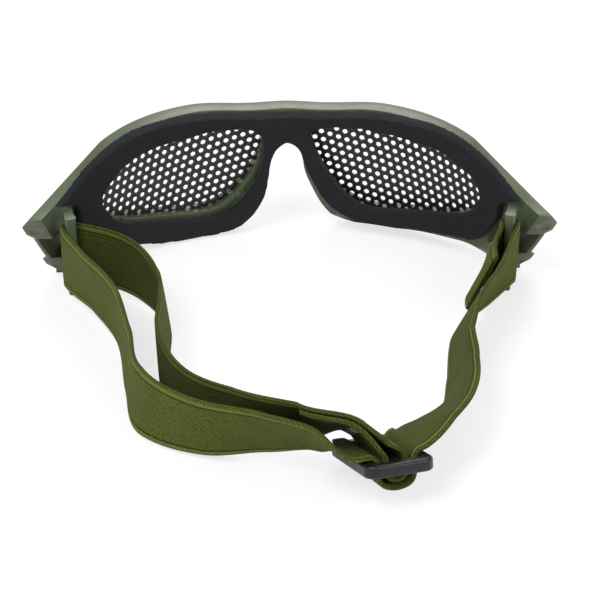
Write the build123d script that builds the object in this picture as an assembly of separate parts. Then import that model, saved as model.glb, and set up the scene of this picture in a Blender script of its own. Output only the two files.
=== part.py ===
from build123d import *
import math
import os

# Mesh safety goggles standing on a table, in millimetres. +Y is the way the
# wearer looks, +X is the wearer's right and +Z is up. The origin is the middle
# of the nose bridge's front face. Shares are parts of the sizes named with them.

# Front frame: a band bent round an upright axis behind the wearer's eyes
wrap_radius = 87.0  # outer face of the band, seen from above
frame_wall = 6.0  # depth of the band, front to back
crown_height = 21.5  # origin to the highest point of the brow
rest_depth = 20.0  # origin down to the table
edge_round = 1.2  # rounding of the band's outer rim

# Lens stack, from the front: lip of the frame, perforated steel lens, retainer
lip_wall = 2.4
lens_sheet = 0.6
seat_gap = 0.1  # play between stacked layers
lip_margin = 0.6  # the lip's opening is this much larger than the eye outline
ring_margin = 0.4  # the same for the retainer
pocket_margin = 3.0  # the same for the pocket
pocket_play = 0.2  # lens and retainer are this much smaller than the pocket
bezel_margin = 2.2  # raised rim on the front, round each opening
bezel_rise = 1.0

# Eye outline, measured on the rear face of the foam
eye_gauge_radius = 76.0
eye_centre_x = 31.4
eye_centre_z = 1.9
eye_half_width = 23.8
eye_half_height = 14.1

# Perforation of the lens
hole_diameter = 1.65
hole_pitch = 2.8
hole_row_tilt = -16.0  # degrees, the rows fall towards the ends
mesh_margin = 0.8  # holes are centred up to this far outside the eye outline

# Retainer screws
screw_radius = 0.5
screw_head_radius = 0.75
screw_head_height = 0.6
screw_length = 5.0
screw_play = 0.05
screw_margin = 1.65  # distance of a screw outside the eye outline
screw_rows = (1, 7, 13, 19)  # rows of eye_shares with a screw

# Face foam
foam_depth = 4.9  # at the nose bridge
foam_end_depth = 4.3  # at its outer ends, measured front to back
foam_end_x = 65.0
foam_glue_gap = 0.1

# End blocks that carry the strap loops
end_back = 49.0  # how far behind the origin the slanted end starts
end_gauge_z = 3.0  # height at which that is measured
end_slant = 28.0  # degrees
recess_top_z = -3.5
recess_bottom_z = -12.5
recess_front = 33.0  # behind the origin
set_in_front = 36.0  # the outside is stepped from here on
recess_wall = 0.9
recess_set_in = 1.2  # the recess's wall stands back from the blocks above and below it
arm_bevel = 1.6  # on the upper block, over the set-in wall
arm_bevel_height = 1.9
foot_bevel = 3.2  # on the lower block, down to the table
foot_bevel_height = 4.8
block_chamfer = 3.4  # along the outer top edge, as wide as this at the very end
chamfer_rise = 1.1  # its inner edge over the band's top, its outer edge below it
chamfer_drop = 2.9
rest_land = 1.5  # width of the faces that stand on the table under the eyes
ejector_mark_radius = 1.7
ejector_mark_depth = 0.25
ejector_mark_inset = 2.8
ejector_mark_heights = (-0.4, -16.0)

# Strap loops and the pegs that they swing on
peg_radius = 0.9
peg_play = 0.05
peg_height = 2.4
peg_end_gap = 0.2
peg_angle = 53.6  # degrees round the band's axis
peg_inset = 3.9  # inside the band's outer face
loop_splay = 15.0  # degrees that the loops point inward at rest
prong_gap = 0.5  # between a prong and the recess
prong_thick = 2.2
prong_half_width = 1.2
prong_eye_radius = 1.5
inner_post_start = 6.2  # from the pin
inner_post_depth = 1.8
inner_post_half_width = 1.3
slot_depth = 2.4
post_depth = 2.6
post_half_width = 1.6
loop_top_z = 5.2
loop_bar = 2.1
slot_height = 20.8
post_round = 0.9
wrap_turn_left = (200.0, 70.0)  # degrees about the post, start and end of the turn
wrap_turn_right = (-25.0, 165.0)

# Webbing
web_width = 20.0
web_thick = 1.3
web_play = 0.1  # between the webbing and the post that it goes round
seam_gap = 0.15  # between two layers that are sewn together
web_steps = 4  # sections between two stations
bend_steps = 8  # sections round a post

# Slider buckle
slider_end_wall = 2.75  # beyond the ends of its slots
slot_margin = 0.5  # between the webbing's edge and a slot's end
slider_depth = 17.8
slider_thick = 3.2
slider_corner = 3.0
slider_edge = 0.7
slider_outer_bar = 2.7
slider_centre_bar = 2.8
slider_x = 18.8
slider_y = -144.8
slider_z = -12.2
slider_along = (0.951, 0.298, -0.05)  # the way the webbing runs through it
slider_bars = (-0.297, 0.893, -0.33)  # along its bars, from near to far
entry_height = 0.5  # above the buckle's middle, where plies become the pass

# Bar tacks: rows of stitches across the webbing
tack_thick = 0.3
tack_inset = 2.5  # from the webbing's edges
tack_gap = 0.05
right_tack_share = 0.3  # along the sewn return
slider_tack_share = 0.72  # along the sewn tail

# Outline of the band, right half. Each row is the sine of the angle round the
# band's axis, then a height as a share of crown_height or of rest_depth. Rows
# below -1 are cut off level with the table.
band_top_shares = [
    (0.0, 0.95), (0.12, 0.935), (0.195, 0.952), (0.32, 1.0), (0.40, 0.992), (0.53, 0.925),
    (0.65, 0.757), (0.739, 0.549), (0.814, 0.389), (0.883, 0.24), (0.92, 0.21),
]  # fmt: skip
chamfer_start_row = 6  # of band_top_shares
band_nose_shares = [
    (0.275, -1.02), (0.24, -0.965), (0.20, -0.86), (0.138, -0.6), (0.098, -0.3), (0.069, 0.0),
    (0.046, 0.325), (0.0, 0.43),
]  # fmt: skip
band_cheek_shares = [
    (0.75, -1.02), (0.72, -0.90), (0.68, -0.80), (0.63, -0.83), (0.52, -0.90), (0.39, -1.02),
]  # fmt: skip
band_end_share = 0.92

# Outline of the foam on the same terms. It is glued on by hand and hangs lower
# on the left.
foam_top_shares = [
    (0.0, 0.925), (0.06, 0.926), (0.2, 0.949), (0.34, 0.995), (0.42, 1.0), (0.5, 0.99),
    (0.575, 0.958), (0.65, 0.87), (0.71, 0.753), (0.765, 0.605), (0.81, 0.442), (0.848, 0.305),
]  # fmt: skip
foam_end_shares = [
    (0.848, 0.328), (0.826, 0.272), (0.80, 0.20), (0.79, 0.0), (0.77, -0.30), (0.745, -0.50),
    (0.70, -0.655),
]  # fmt: skip
foam_right_shares = [
    (0.70, -0.655), (0.632, -0.68), (0.577, -0.715), (0.50, -0.73), (0.422, -0.74),
    (0.350, -0.755), (0.261, -0.73), (0.212, -0.64), (0.166, -0.50), (0.128, -0.30),
    (0.099, -0.08), (0.073, 0.14), (0.056, 0.345), (0.036, 0.48), (0.0, 0.53),
]  # fmt: skip
foam_left_shares = [
    (0.70, -0.655), (0.64, -0.77), (0.58, -0.865), (0.521, -0.93), (0.441, -0.968),
    (0.360, -0.975), (0.278, -0.965), (0.224, -0.925), (0.174, -0.83), (0.132, -0.675),
    (0.099, -0.475), (0.080, -0.25), (0.073, -0.045), (0.066, 0.18), (0.050, 0.35),
    (0.025, 0.48), (0.0, 0.53),
]  # fmt: skip

# Eye outline about its centre, in shares of its half width and half height, and
# the foam's own openings on the same terms
eye_shares = [
    (-0.975, 0.87), (-0.834, 0.965), (-0.643, 1.0), (-0.256, 0.993), (0.06, 0.929),
    (0.424, 0.837), (0.597, 0.73), (0.772, 0.553), (0.884, 0.383), (0.951, 0.22),
    (0.989, 0.007), (0.945, -0.19), (0.836, -0.43), (0.645, -0.688), (0.303, -0.865),
    (0.066, -0.943), (-0.17, -1.0), (-0.425, -0.965), (-0.555, -0.845), (-0.676, -0.645),
    (-0.808, -0.355), (-0.904, -0.07), (-0.985, 0.376), (-1.0, 0.645),
]  # fmt: skip
foam_right_eye_shares = [
    (-0.997, 0.631), (-0.985, 0.90), (-0.834, 0.979), (-0.643, 1.014), (-0.262, 1.014),
    (0.05, 0.957), (0.415, 0.872), (0.654, 0.738), (0.769, 0.624), (0.887, 0.475),
    (0.955, 0.312), (1.0, 0.13), (0.98, -0.12), (0.897, -0.35), (0.80, -0.51),
    (0.645, -0.61), (0.306, -0.759), (0.073, -0.833), (-0.164, -0.887), (-0.285, -0.887),
    (-0.406, -0.83), (-0.531, -0.681), (-0.719, -0.298), (-0.882, 0.177),
]  # fmt: skip
foam_left_eye_shares = [
    (-1.003, 0.68), (-0.955, 0.87), (-0.834, 0.957), (-0.643, 0.986), (-0.256, 0.965),
    (0.06, 0.901), (0.434, 0.80), (0.68, 0.624), (0.804, 0.45), (0.90, 0.26),
    (0.955, 0.021), (0.91, -0.25), (0.80, -0.58), (0.648, -0.77), (0.30, -0.965),
    (0.06, -1.05), (-0.182, -1.105), (-0.429, -1.10), (-0.553, -1.035), (-0.677, -0.915),
    (-0.78, -0.73), (-0.866, -0.525), (-0.93, -0.305), (-0.99, 0.028), (-1.016, 0.35),
]  # fmt: skip

# Webbing stations: place of the middle line (x and y as shares of wrap_radius,
# height over the table as a share of the width), then how far the top edge
# stands over from it along x and y, as a share of half the width.
outer_ply_shares = [
    (-0.667, -0.759, 0.675, -0.12, -0.06), (-0.563, -0.966, 0.65, -0.03, -0.08),
    (-0.517, -1.184, 0.52, 0.08, -0.05), (-0.471, -1.408, 0.515, 0.06, 0.03),
    (-0.299, -1.560, 0.55, -0.10, -0.20), (-0.115, -1.620, 0.64, 0.0, -0.48),
    (0.01, -1.662, 0.67, 0.12, -0.68),
]  # fmt: skip
inner_ply_shares = [
    (-0.540, -0.632, 0.62, 0.0, -0.09), (-0.431, -0.793, 0.525, -0.13, -0.10),
    (-0.414, -1.0, 0.55, -0.10, 0.0), (-0.418, -1.213, 0.585, -0.03, -0.02),
    (-0.339, -1.408, 0.54, -0.04, -0.07), (-0.178, -1.545, 0.66, -0.03, -0.28),
    (0.0, -1.610, 0.80, 0.05, -0.60),
]  # fmt: skip
right_ply_shares = [
    (0.690, -0.700, 0.59, 0.18, -0.10), (0.613, -0.850, 0.64, 0.38, -0.15),
    (0.540, -1.0, 0.64, 0.36, -0.20), (0.501, -1.166, 0.515, 0.27, -0.14),
    (0.478, -1.332, 0.51, 0.40, -0.13), (0.413, -1.490, 0.58, 0.56, -0.50),
    (0.358, -1.565, 0.59, 0.42, -0.74),
]  # fmt: skip
return_ply_shares = [
    (0.650, -0.647, 0.62, 0.22, -0.18), (0.626, -0.706, 0.59, 0.34, -0.25),
    (0.622, -0.755, 0.57, 0.38, -0.27),
]  # fmt: skip

# Profile of the strap's pass under the buckle's centre bar: places along the
# buckle as shares of its depth, then depths below its middle as shares of the
# webbing's width, at the near edge and at the far edge.
pass_shares = [
    (-0.262, -0.12, -0.085), (-0.205, -0.225, -0.165), (-0.10, -0.27, -0.198),
    (0.10, -0.27, -0.198), (0.205, -0.225, -0.165), (0.262, -0.12, -0.085),
]  # fmt: skip
# The sewn end's turn about the centre bar, on the same terms
fold_shares = [
    (0.135, -0.031, -0.031), (0.122, -0.135, -0.10), (0.06, -0.172, -0.121),
    (-0.06, -0.172, -0.121), (-0.122, -0.135, -0.10), (-0.135, -0.031, -0.031),
]  # fmt: skip
pass_line_share = 0.265
fold_line_share = 0.135
# Approach of each ply to the buckle: along it, above its middle and across it as
# shares of its depth, then how far the webbing leans from the buckle's own plane.
outer_approach_shares = [
    (-0.55, 0.15, 0.0, 0.0), (-0.42, 0.152, 0.0, 0.0), (-0.325, 0.137, 0.0, 0.0),
    (-0.272, 0.075, 0.0, 0.0),
]  # fmt: skip
inner_approach_shares = [
    (-0.42, 0.54, 0.10, 0.20), (-0.22, 0.41, 0.02, 0.08), (-0.065, 0.285, 0.0, 0.0),
    (0.068, 0.20, 0.0, 0.0), (0.13, 0.107, 0.0, 0.0),
]  # fmt: skip
right_approach_shares = [(0.44, 0.20, 0.0, 0.0), (0.335, 0.16, 0.0, 0.0), (0.28, 0.085, 0.0, 0.0)]
tail_approach_shares = [(-0.15, 0.12, 0.0, 0.0), (-0.20, 0.20, 0.0, 0.0)]
tail_reach_shares = (0.55, 0.65)  # where the tail is sewn, along the inner ply

overrun = 1.0
tall = 2 * (crown_height + rest_depth)
prism_reach_shares = (0.3, 1.1)  # of wrap_radius, where radial prisms start and end


def unit(v):
    return v / v.length


def axis_point(sine, z, radius):
    """A place on a cylinder round the band's axis."""
    return Vector(radius * sine, radius * math.sqrt(1 - sine * sine) - wrap_radius, z)


def shell(inner, outer):
    """An upright tube round the band's axis."""
    at = Pos(0, -wrap_radius, 0)
    return at * (Cylinder(outer, tall) - Cylinder(inner, tall + overrun))


def on_plane(points, reach):
    """Rows of (sine, z) as points of an upright plane that faces the axis."""
    return [Vector(reach * s / math.sqrt(1 - s * s), reach - wrap_radius, z) for s, z in points]


def radial_prism(pieces, closed=False):
    """A solid whose walls run straight out from the band's axis."""
    wires = []
    for share in prism_reach_shares:
        edges = []
        for points in pieces:
            flat = on_plane(points, share * wrap_radius)
            if len(flat) == 2:
                edges.append(Edge.make_line(*flat))
                continue
            edges.append(Edge.make_spline(flat, periodic=closed, parameters=spacing(points, closed)))
        wires.append(Wire(edges))
    return Solid.make_loft(wires, ruled=True)


def spacing(points, closed):
    """The same spline parameters for each plane, so that walls run straight out."""
    around = points + points[:1] if closed else points
    lengths = [0.0]
    for (s1, z1), (s2, z2) in zip(around, around[1:]):
        lengths.append(lengths[-1] + math.hypot((s2 - s1) * eye_gauge_radius, z2 - z1))
    return [length / lengths[-1] for length in lengths]


def rows(shares):
    """Share rows as (sine, z): heights above zero follow the crown."""
    return [(s, h * (crown_height if crown else rest_depth)) for s, h, crown in shares]


def crown_rows(shares):
    return rows([(s, h, True) for s, h in shares])


def rest_rows(shares):
    return rows([(s, h, False) for s, h in shares])


def mirrored(points):
    return [(-s, z) for s, z in reversed(points)]


def both_sides(points):
    """A half outline that starts or ends on the middle, made whole."""
    if points[0][0] == 0:
        return mirrored(points) + points[1:]
    return points + mirrored(points)[1:]


def band_prism():
    top = both_sides(crown_rows(band_top_shares))
    nose = both_sides(rest_rows(band_nose_shares))
    cheek = rest_rows(band_cheek_shares)
    end_low = (band_end_share, cheek[0][1])
    right = [[top[-1], end_low], [end_low, cheek[0]], cheek, [cheek[-1], nose[0]]]
    left = [mirrored(piece) for piece in reversed(right)]
    return radial_prism([top, *right, nose, *left])


def foam_prism():
    top = both_sides(crown_rows(foam_top_shares))
    end = rest_rows(foam_end_shares)
    end[0] = top[-1]
    bottom = rest_rows(foam_right_shares) + mirrored(rest_rows(foam_left_shares))[1:]
    return radial_prism([top, end, bottom, mirrored(end)])


def eye_points(grow, side, shares=eye_shares):
    """An eye outline as (sine, z), larger all round by grow."""
    points = []
    for a, b in shares:
        x = eye_centre_x + a * (eye_half_width + grow)
        z = eye_centre_z + b * (eye_half_height + grow)
        points.append((side * x / eye_gauge_radius, z))
    return points


def within(plane, x, y, z=0.0):
    """A place given in a plane's own terms."""
    return (plane * Pos(x, y, z)).position


def eye_prism(grow, side):
    return radial_prism([eye_points(grow, side)], closed=True)


def inner_radius():
    return wrap_radius - frame_wall


def lens_outer_radius():
    return wrap_radius - lip_wall - seat_gap


def lens_inner_radius():
    return lens_outer_radius() - lens_sheet


def retainer_outer_radius():
    return lens_inner_radius() - seat_gap


def half_space(origin, normal):
    """A block that fills the side of a plane that its normal points to."""
    size = 3 * wrap_radius
    return Plane(origin=origin, z_dir=normal) * Pos(0, 0, size / 2) * Box(size, size, size)


def end_normal():
    a = math.radians(end_slant)
    return Vector(0, -math.cos(a), -math.sin(a))


def end_point():
    return Vector(0, -end_back, end_gauge_z)


def end_y(z):
    """How far back the slanted end lies at a height."""
    return -end_back + (end_gauge_z - z) * math.tan(math.radians(end_slant))


def peg_place(side):
    a = math.radians(peg_angle)
    r = wrap_radius - peg_inset
    return Vector(side * r * math.sin(a), r * math.cos(a) - wrap_radius, 0)


def top_chamfer(side):
    """Plane that takes the arm's outer top edge off, growing towards its end."""
    far_sine, far_share = band_top_shares[-2]
    near_sine, near_share = band_top_shares[chamfer_start_row]
    top_z = far_share * crown_height
    inner = axis_point(side * far_sine, top_z + chamfer_rise, wrap_radius - block_chamfer)
    outer = axis_point(side * far_sine, top_z - chamfer_drop, wrap_radius)
    start = axis_point(side * near_sine, near_share * crown_height, wrap_radius)
    normal = unit((inner - outer).cross(start - outer))
    if normal.Z < 0:
        normal = normal * -1
    return half_space(outer, normal)


def recess_slab(front):
    """A slab as high as the recess, from a place behind the origin to the band's ends."""
    depth = end_back - front + overrun
    middle_z = (recess_top_z + recess_bottom_z) / 2
    slab = Box(4 * wrap_radius, depth, recess_top_z - recess_bottom_z)
    return Pos(0, -front - depth / 2, middle_z) * slab


def outer_bevel(low_z, low_inset, high_z, high_inset):
    """Takes the blocks' outer face off at a slant between two heights."""
    height = high_z - low_z
    core = Cone(wrap_radius - low_inset, wrap_radius - high_inset, height)
    ring = Cylinder(wrap_radius + overrun, height) - core
    ring = Pos(0, -wrap_radius, (low_z + high_z) / 2) * ring
    return ring & half_space(Vector(0, -set_in_front, 0), Vector(0, -1, 0))


def block_cuts():
    """What shapes the blocks of both ends: the loops' recess, the set-in wall and bevels."""
    outside = wrap_radius - recess_set_in
    recess = shell(inner_radius() - frame_wall, outside - recess_wall) & recess_slab(recess_front)
    set_in = shell(outside, wrap_radius + overrun) & recess_slab(set_in_front)
    arm = outer_bevel(recess_top_z, arm_bevel, recess_top_z + arm_bevel_height, 0)
    foot = outer_bevel(-rest_depth, foot_bevel, foot_bevel_height - rest_depth, 0)
    return [recess, set_in, arm, foot]


def arm_cuts(side):
    """What is taken from one end: the top chamfer, the pegs' sockets and ejector marks."""
    cuts = [top_chamfer(side)]
    depth = peg_height - prong_gap + peg_end_gap
    for z in (recess_top_z, recess_bottom_z):
        socket = Cylinder(peg_radius + peg_play, 2 * depth)
        cuts.append(Pos(peg_place(side)) * Pos(0, 0, z) * socket)
    for z in ejector_mark_heights:
        gauge = end_y(z) + wrap_radius
        middle = wrap_radius - ejector_mark_inset
        x = side * math.sqrt(middle * middle - gauge * gauge)
        mark = Cylinder(ejector_mark_radius, 2 * ejector_mark_depth)
        cuts.append(Plane(origin=(x, end_y(z), z), z_dir=end_normal()) * mark)
    return cuts


def front_frame():
    body = band_prism() & shell(inner_radius(), wrap_radius)
    body -= half_space(end_point(), end_normal())
    for cut in block_cuts():
        body -= cut
    body -= half_space(Vector(0, 0, -rest_depth), Vector(0, 0, -1))
    body -= rest_cone()
    pocket = shell(inner_radius() - overrun, wrap_radius - lip_wall)
    rim = shell(wrap_radius - edge_round, wrap_radius + bezel_rise)
    hole = Cylinder(screw_radius + screw_play, screw_depth())
    for side in (1, -1):
        body += eye_prism(bezel_margin, side) & rim
        body -= eye_prism(pocket_margin, side) & pocket
        body -= eye_prism(lip_margin, side)
        for place in screw_places(side):
            body -= place * Pos(0, 0, screw_depth() / 2) * hole
        for cut in arm_cuts(side):
            body -= cut
    return body


def rest_cone():
    """Takes the inner lower edge off under the eyes, so that only a land touches the table."""
    height = frame_wall + overrun
    low_radius = wrap_radius - rest_land + overrun
    cone = Cone(low_radius, low_radius - height, height)
    cone = Pos(0, -wrap_radius, height / 2 - rest_depth - overrun) * cone
    return cone & half_space(Vector(0, -recess_front, 0), Vector(0, 1, 0))


def screw_depth():
    return screw_length - screw_head_height + screw_play


def screw_places(side):
    """Under the head of each screw, with z pointing out of the front."""
    places = []
    outline = eye_points(screw_margin, side)
    for i in screw_rows:
        s, z = outline[i]
        at = axis_point(s, z, inner_radius() + seat_gap + screw_head_height)
        out = Vector(s, math.sqrt(1 - s * s), 0)
        places.append(Plane(origin=at, z_dir=out))
    return places


def hole_places(side):
    """Hexagonal perforation, in rows that fall towards the lens's outer end."""
    radius = lens_outer_radius()
    outline = eye_points(mesh_margin, side)
    middle = math.asin(eye_centre_x / eye_gauge_radius) * radius
    row = math.radians(hole_row_tilt)
    rise = row + math.pi / 3
    reach = int(2 * eye_half_width / hole_pitch)
    places = []
    for i in range(-reach, reach + 1):
        for j in range(-reach, reach + 1):
            arc = middle + hole_pitch * (i * math.cos(row) + j * math.cos(rise))
            z = eye_centre_z + hole_pitch * (i * math.sin(row) + j * math.sin(rise))
            s = side * math.sin(arc / radius)
            if inside_outline(s, z, outline) and clear_of_screws(s, z, side):
                places.append((s, z))
    return places


def clear_of_screws(s, z, side):
    at = axis_point(s, z, lens_outer_radius())
    screws = [place.origin for place in screw_places(side)]
    return min(math.hypot(at.X - p.X, at.Z - p.Z) for p in screws) > hole_pitch / 2 + screw_radius


def inside_outline(s, z, outline):
    inside = False
    for (s1, z1), (s2, z2) in zip(outline, outline[1:] + outline[:1]):
        if (z1 > z) != (z2 > z) and s < s1 + (z - z1) / (z2 - z1) * (s2 - s1):
            inside = not inside
    return inside


def mesh_lens(side):
    plate = eye_prism(pocket_margin - pocket_play, side)
    plate = plate & shell(lens_inner_radius(), lens_outer_radius())
    for place in screw_places(side):
        plate -= place * Cylinder(screw_radius + screw_play, 4 * frame_wall)
    pins = []
    for s, z in hole_places(side):
        at = axis_point(s, z, lens_outer_radius() - lens_sheet / 2)
        out = Vector(s, math.sqrt(1 - s * s), 0)
        pins.append(Plane(origin=at, z_dir=out) * Cylinder(hole_diameter / 2, 3 * lens_sheet))
    return plate.cut(*pins)


def lens_retainer(side):
    ring = eye_prism(pocket_margin - pocket_play, side)
    ring = ring & shell(inner_radius() + seat_gap, retainer_outer_radius())
    ring -= eye_prism(ring_margin, side)
    for place in screw_places(side):
        ring -= place * Cylinder(screw_radius + screw_play, 4 * frame_wall)
        head = Cylinder(screw_head_radius + screw_play, 2 * screw_head_height)
        ring -= place * Pos(0, 0, -screw_head_height) * head
    return ring


def retainer_screws(side):
    screws = []
    for place in screw_places(side):
        shank = screw_length - screw_head_height
        body = Pos(0, 0, shank / 2) * Cylinder(screw_radius, shank)
        body += Pos(0, 0, -screw_head_height / 2) * Cylinder(screw_head_radius, screw_head_height)
        slot = Box(2 * screw_head_radius, screw_radius / 2, screw_head_height / 2)
        body -= Pos(0, 0, -screw_head_height) * slot
        screws.append(place * body)
    return screws


def face_foam():
    front = inner_radius() - foam_glue_gap
    end_front = math.sqrt(front * front - foam_end_x * foam_end_x) - wrap_radius
    back_mid = front - wrap_radius - foam_depth
    sag = back_mid - (end_front - foam_end_depth)
    back_radius = (foam_end_x * foam_end_x + sag * sag) / (2 * sag)
    block = Pos(0, -wrap_radius, 0) * Cylinder(front, tall)
    block -= Pos(0, back_mid - back_radius, 0) * Cylinder(back_radius, tall + overrun)
    foam = foam_prism() & block
    for side, shares in ((1, foam_right_eye_shares), (-1, foam_left_eye_shares)):
        foam -= radial_prism([eye_points(0, side, shares)], closed=True)
    return foam


def post_centre():
    return inner_post_start + inner_post_depth + slot_depth + post_depth / 2


def loop_location(side):
    """From the loop's own frame, with x from the pin to the post, to its rest place."""
    a = math.radians(loop_splay)
    along = Vector(-side * math.sin(a), -math.cos(a), 0)
    return Plane(origin=peg_place(side), x_dir=along, z_dir=(0, 0, 1))


def loop_point(side, along, across, z=0.0):
    """A place in the loop's frame, where across is positive towards the outside."""
    return within(loop_location(side), along, side * across, z)


def strap_loop(side):
    low_z = loop_top_z - 2 * loop_bar - slot_height
    mid_z = (loop_top_z + low_z) / 2
    height = loop_top_z - low_z
    post = Box(post_depth, 2 * post_half_width, height)
    post = fillet(post.edges().filter_by(Axis.Z), post_round)
    ring = Pos(post_centre(), 0, mid_z) * post
    inner = Box(inner_post_depth, 2 * inner_post_half_width, height)
    ring += Pos(inner_post_start + inner_post_depth / 2, 0, mid_z) * inner
    bar_length = post_centre() - inner_post_start
    for z in (loop_top_z - loop_bar / 2, low_z + loop_bar / 2):
        bar = Box(bar_length, 2 * inner_post_half_width, loop_bar)
        ring += Pos(inner_post_start + bar_length / 2, 0, z) * bar
    low_prong = recess_bottom_z + prong_gap
    high_prong = recess_top_z - prong_gap
    for z, way in ((low_prong, 1), (high_prong, -1)):
        reach = inner_post_start + inner_post_depth / 2
        middle = z + way * prong_thick / 2
        ring += Pos(reach / 2, 0, middle) * Box(reach, 2 * prong_half_width, prong_thick)
        ring += Pos(0, 0, middle) * Cylinder(prong_eye_radius, prong_thick)
        ring += Pos(0, 0, z - way * peg_height / 2) * Cylinder(peg_radius, peg_height)
    return loop_location(side) * ring


def slider_plane():
    along = unit(Vector(*slider_along))
    bars = unit(Vector(*slider_bars))
    return Plane(origin=(slider_x, slider_y, slider_z), x_dir=along, z_dir=along.cross(bars))


def slider_point(along, up, across=0.0):
    """A place by the buckle, where across is positive towards the far end of its bars."""
    return within(slider_plane(), along, across, up)


def slider_buckle():
    slot_length = web_width + 2 * slot_margin
    body = Box(slider_depth, slot_length + 2 * slider_end_wall, slider_thick)
    body = fillet(body.edges().filter_by(Axis.Z), slider_corner)
    slot = (slider_depth - 2 * slider_outer_bar - slider_centre_bar) / 2
    for side in (1, -1):
        place = Pos(side * (slider_centre_bar + slot) / 2, 0, 0)
        body -= place * Box(slot, slot_length, slider_thick + overrun)
    outline = body.faces().filter_by(Axis.Z).edges()
    rim = [e for e in outline if e.center().Y ** 2 > (slot_length / 2 + overrun) ** 2]
    rim += [e for e in outline if e.center().X ** 2 > (slider_depth / 2 - overrun) ** 2 and e not in rim]
    body = fillet(rim, slider_edge)
    return slider_plane() * body


def smooth(stations, steps, first=None, last=None):
    """Stations of (place, width direction) as sections of (place, tangent, width)."""
    places = [p for p, _ in stations]
    count = len(places)
    slopes = []
    for i in range(count):
        if i == 0 or i == count - 1:
            slopes.append(None)
            continue
        before, after = places[i] - places[i - 1], places[i + 1] - places[i]
        a, b = before.length, after.length
        slopes.append(unit(before * (b / a) + after * (a / b)))
    slopes[0] = first or unit((places[1] - places[0]) * 2 - slopes[1] * (places[1] - places[0]).length)
    slopes[-1] = last or unit((places[-1] - places[-2]) * 2 - slopes[-2] * (places[-1] - places[-2]).length)
    sections = []
    for i in range(count - 1):
        (p, v), (q, w) = stations[i], stations[i + 1]
        span = (q - p).length
        for k in range(steps + (i == count - 2)):
            t = k / steps
            c0, c1 = 2 * t**3 - 3 * t**2 + 1, t**3 - 2 * t**2 + t
            c2, c3 = 3 * t**2 - 2 * t**3, t**3 - t**2
            place = p * c0 + slopes[i] * (span * c1) + q * c2 + slopes[i + 1] * (span * c3)
            d0, d1 = 6 * t**2 - 6 * t, 3 * t**2 - 4 * t + 1
            d3 = 3 * t**2 - 2 * t
            heading = unit((p - q) * d0 + slopes[i] * (span * d1) + slopes[i + 1] * (span * d3))
            width = v * (1 - t) + w * t
            width = unit(width - heading * width.dot(heading))
            sections.append((place, heading, width))
    return sections


def ribbon(sections, width=web_width, thick=web_thick, lift=0.0):
    """Webbing along sections of (place, tangent, width direction), or a strip on its face."""
    wires = []
    for place, heading, up in sections:
        out = heading.cross(up)
        middle = place + out * lift
        edge = up * (width / 2)
        face = out * (thick / 2)
        corners = [middle + edge + face, middle + edge - face, middle - edge - face, middle - edge + face]
        wires.append(Wire.make_polygon(corners))
    return Solid.make_loft(wires, ruled=True)


def stations_of(shares):
    """Hand-placed rows as (place, direction from the middle to the top edge)."""
    out = []
    for x, y, high, lean_x, lean_y in shares:
        place = Vector(x * wrap_radius, y * wrap_radius, high * web_width - rest_depth)
        up = math.sqrt(1 - lean_x * lean_x - lean_y * lean_y)
        out.append((place, Vector(lean_x, lean_y, up)))
    return out


def approach_of(shares):
    """Rows beside the buckle as stations, with the top edge at its near end."""
    bars = unit(Vector(*slider_bars))
    out = []
    for along, up, across, lean in shares:
        place = slider_point(along * slider_depth, up * slider_depth, across * slider_depth)
        width = slider_plane().z_dir * lean - bars * math.sqrt(1 - lean * lean)
        out.append((place, width))
    return out


def entry(share):
    """Where a ply enters the buckle, and the direction of its top edge."""
    return (slider_point(share * slider_depth, entry_height), unit(Vector(*slider_bars)) * -1)


def down():
    return slider_plane().z_dir * -1


def wrap_reach():
    """From a post's middle to the middle of the webbing that goes round it."""
    corner = math.hypot(post_depth / 2 - post_round, post_half_width - post_round)
    return corner + post_round + web_play + web_thick / 2


def wrap_sections(side):
    """Webbing round the front of a post, from the outside to the inside."""
    centre = loop_point(side, post_centre(), 0, loop_top_z - loop_bar - slot_height / 2)
    start, end = wrap_turn_right if side > 0 else wrap_turn_left
    turn = 1 if end > start else -1
    sections = []
    for k in range(bend_steps + 1):
        a = math.radians(start + (end - start) * k / bend_steps)
        out = Vector(math.cos(a), math.sin(a), 0)
        heading = Vector(-math.sin(a), math.cos(a), 0) * turn
        sections.append((centre + out * wrap_reach(), heading, Vector(0, 0, 1)))
    return sections


def outer_ply():
    start = wrap_sections(-1)[0]
    stations = [(start[0], start[2])] + stations_of(outer_ply_shares)
    stations += approach_of(outer_approach_shares) + [entry(-pass_line_share)]
    return smooth(stations, web_steps, start[1] * -1, down())


def inner_ply():
    start = wrap_sections(-1)[-1]
    stations = [(start[0], start[2])] + stations_of(inner_ply_shares)
    stations += approach_of(inner_approach_shares) + [entry(fold_line_share)]
    return smooth(stations, web_steps, start[1], down())


def right_ply():
    start = wrap_sections(1)[0]
    stations = [(start[0], start[2])] + stations_of(right_ply_shares)
    stations += approach_of(right_approach_shares) + [entry(pass_line_share)]
    return smooth(stations, web_steps, start[1] * -1, down())


def return_ply():
    """The sewn end behind the right post."""
    start = wrap_sections(1)[-1]
    stations = [(start[0], start[2])] + stations_of(return_ply_shares)
    return smooth(stations, web_steps, start[1])


def tail_ply():
    """The sewn end, which leaves the buckle and lies on the inner ply."""
    carrier = inner_ply()
    low, high = (int(share * (len(carrier) - 1)) for share in tail_reach_shares)
    sewn = []
    for place, heading, width in reversed(carrier[low:high + 1]):
        sewn.append((place + heading.cross(width) * (web_thick + seam_gap), heading * -1, width))
    stations = [entry(-fold_line_share)] + approach_of(tail_approach_shares)
    stations.append((sewn[0][0], sewn[0][2]))
    return smooth(stations, web_steps, down() * -1, sewn[0][1])[:-1] + sewn


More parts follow.
